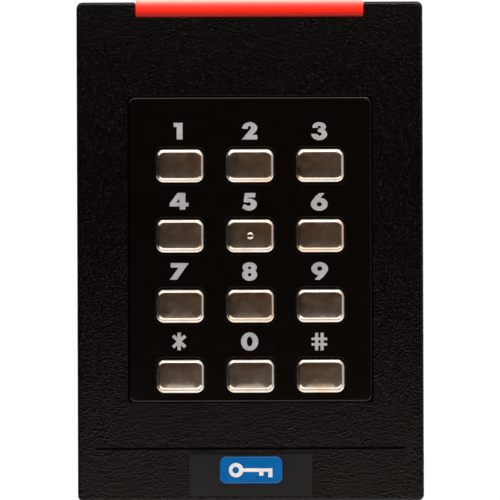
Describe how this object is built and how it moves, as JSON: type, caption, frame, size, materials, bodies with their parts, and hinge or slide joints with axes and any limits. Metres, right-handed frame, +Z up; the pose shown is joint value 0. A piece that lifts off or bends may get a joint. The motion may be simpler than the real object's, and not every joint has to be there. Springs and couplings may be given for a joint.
{
  "type": "keypad access reader",
  "caption": "Wall-mounted access-control card reader with a metal keypad, a red status light bar along the top edge and screw terminals behind.",
  "frame": {"origin": "centre of the mounting plate's rear face, on the wall plane", "axes": "+X to the right as the user faces the keypad, +Y into the wall, +Z up; the keypad faces -Y"},
  "size_m": [0.0842, 0.0284, 0.122],
  "materials": {
    "housing_black": "fine-grained satin moulding, semi-rough",
    "bezel_black": "smooth satin",
    "light_bar_red": "translucent, glossy, lit from inside",
    "nameplate_grey": "smooth printed film",
    "badge_blue": "domed gloss resin",
    "key_metal": "satin-plated die casting",
    "grey_silicone": "matte silicone",
    "carbon_rubber": "matte",
    "circuit_board": "solder mask over glass epoxy",
    "coil_copper": "enamelled copper",
    "black_nylon": "moulded nylon",
    "chip_black": "moulded epoxy",
    "tinned_can": "satin can",
    "led_white": "white body with a clear lens",
    "terminal_green": "moulded polyamide",
    "potting_epoxy": "poured epoxy",
    "screw_steel": "zinc-plated",
    "plate_black": "moulded polycarbonate",
    "insert_brass": "knurled brass",
    "black_foam": "closed-cell foam"
  },
  "bodies": {
    "reader": {"front_cover": "housing_black", "light_bar": "light_bar_red", "nameplate": "nameplate_grey", "badge": "badge_blue", "keypad_bezel": "bezel_black", "keypad_seal": "black_foam", "keypad_mat": "grey_silicone", "keypad_board": "circuit_board", "main_board": "circuit_board", "antenna_coil": "coil_copper", "board_connector_socket": "black_nylon", "board_connector_plug": "black_nylon", "microcontroller": "chip_black", "rf_reader_chip": "chip_black", "secure_element": "chip_black", "voltage_regulator": "chip_black", "power_inductor": "chip_black", "buzzer": "chip_black", "tamper_sensor": "chip_black", "crystal": "tinned_can", "input_capacitor": "tinned_can", "output_capacitor": "tinned_can", "status_led_1": "led_white", "status_led_2": "led_white", "status_led_3": "led_white", "status_led_4": "led_white", "terminal_block": "terminal_green", "potting_compound": "potting_epoxy", "board_screw_top_left": "screw_steel", "board_screw_top_right": "screw_steel", "board_screw_bottom_left": "screw_steel", "board_screw_bottom_right": "screw_steel", "mounting_plate": "plate_black", "threaded_insert": "insert_brass", "security_screw": "screw_steel", "wall_gasket": "black_foam"},
    "button_1": {"key_1": "key_metal", "contact_pill_1": "carbon_rubber"},
    "button_2": {"key_2": "key_metal", "contact_pill_2": "carbon_rubber"},
    "button_3": {"key_3": "key_metal", "contact_pill_3": "carbon_rubber"},
    "button_4": {"key_4": "key_metal", "contact_pill_4": "carbon_rubber"},
    "button_5": {"key_5": "key_metal", "contact_pill_5": "carbon_rubber"},
    "button_6": {"key_6": "key_metal", "contact_pill_6": "carbon_rubber"},
    "button_7": {"key_7": "key_metal", "contact_pill_7": "carbon_rubber"},
    "button_8": {"key_8": "key_metal", "contact_pill_8": "carbon_rubber"},
    "button_9": {"key_9": "key_metal", "contact_pill_9": "carbon_rubber"},
    "button_star": {"key_star": "key_metal", "contact_pill_star": "carbon_rubber"},
    "button_0": {"key_0": "key_metal", "contact_pill_0": "carbon_rubber"},
    "button_hash": {"key_hash": "key_metal", "contact_pill_hash": "carbon_rubber"}
  },
  "joints": [
    {"name": "button_1_press", "type": "slide", "parent": "reader", "child": "button_1", "axis": [0, 1, 0], "range_m": [0, 0.001], "stiffness_N_per_m": 1500, "deforming": ["keypad_mat"]},
    {"name": "button_2_press", "type": "slide", "parent": "reader", "child": "button_2", "axis": [0, 1, 0], "range_m": [0, 0.001], "stiffness_N_per_m": 1500, "deforming": ["keypad_mat"]},
    {"name": "button_3_press", "type": "slide", "parent": "reader", "child": "button_3", "axis": [0, 1, 0], "range_m": [0, 0.001], "stiffness_N_per_m": 1500, "deforming": ["keypad_mat"]},
    {"name": "button_4_press", "type": "slide", "parent": "reader", "child": "button_4", "axis": [0, 1, 0], "range_m": [0, 0.001], "stiffness_N_per_m": 1500, "deforming": ["keypad_mat"]},
    {"name": "button_5_press", "type": "slide", "parent": "reader", "child": "button_5", "axis": [0, 1, 0], "range_m": [0, 0.001], "stiffness_N_per_m": 1500, "deforming": ["keypad_mat"]},
    {"name": "button_6_press", "type": "slide", "parent": "reader", "child": "button_6", "axis": [0, 1, 0], "range_m": [0, 0.001], "stiffness_N_per_m": 1500, "deforming": ["keypad_mat"]},
    {"name": "button_7_press", "type": "slide", "parent": "reader", "child": "button_7", "axis": [0, 1, 0], "range_m": [0, 0.001], "stiffness_N_per_m": 1500, "deforming": ["keypad_mat"]},
    {"name": "button_8_press", "type": "slide", "parent": "reader", "child": "button_8", "axis": [0, 1, 0], "range_m": [0, 0.001], "stiffness_N_per_m": 1500, "deforming": ["keypad_mat"]},
    {"name": "button_9_press", "type": "slide", "parent": "reader", "child": "button_9", "axis": [0, 1, 0], "range_m": [0, 0.001], "stiffness_N_per_m": 1500, "deforming": ["keypad_mat"]},
    {"name": "button_star_press", "type": "slide", "parent": "reader", "child": "button_star", "axis": [0, 1, 0], "range_m": [0, 0.001], "stiffness_N_per_m": 1500, "deforming": ["keypad_mat"]},
    {"name": "button_0_press", "type": "slide", "parent": "reader", "child": "button_0", "axis": [0, 1, 0], "range_m": [0, 0.001], "stiffness_N_per_m": 1500, "deforming": ["keypad_mat"]},
    {"name": "button_hash_press", "type": "slide", "parent": "reader", "child": "button_hash", "axis": [0, 1, 0], "range_m": [0, 0.001], "stiffness_N_per_m": 1500, "deforming": ["keypad_mat"]}
  ]
}
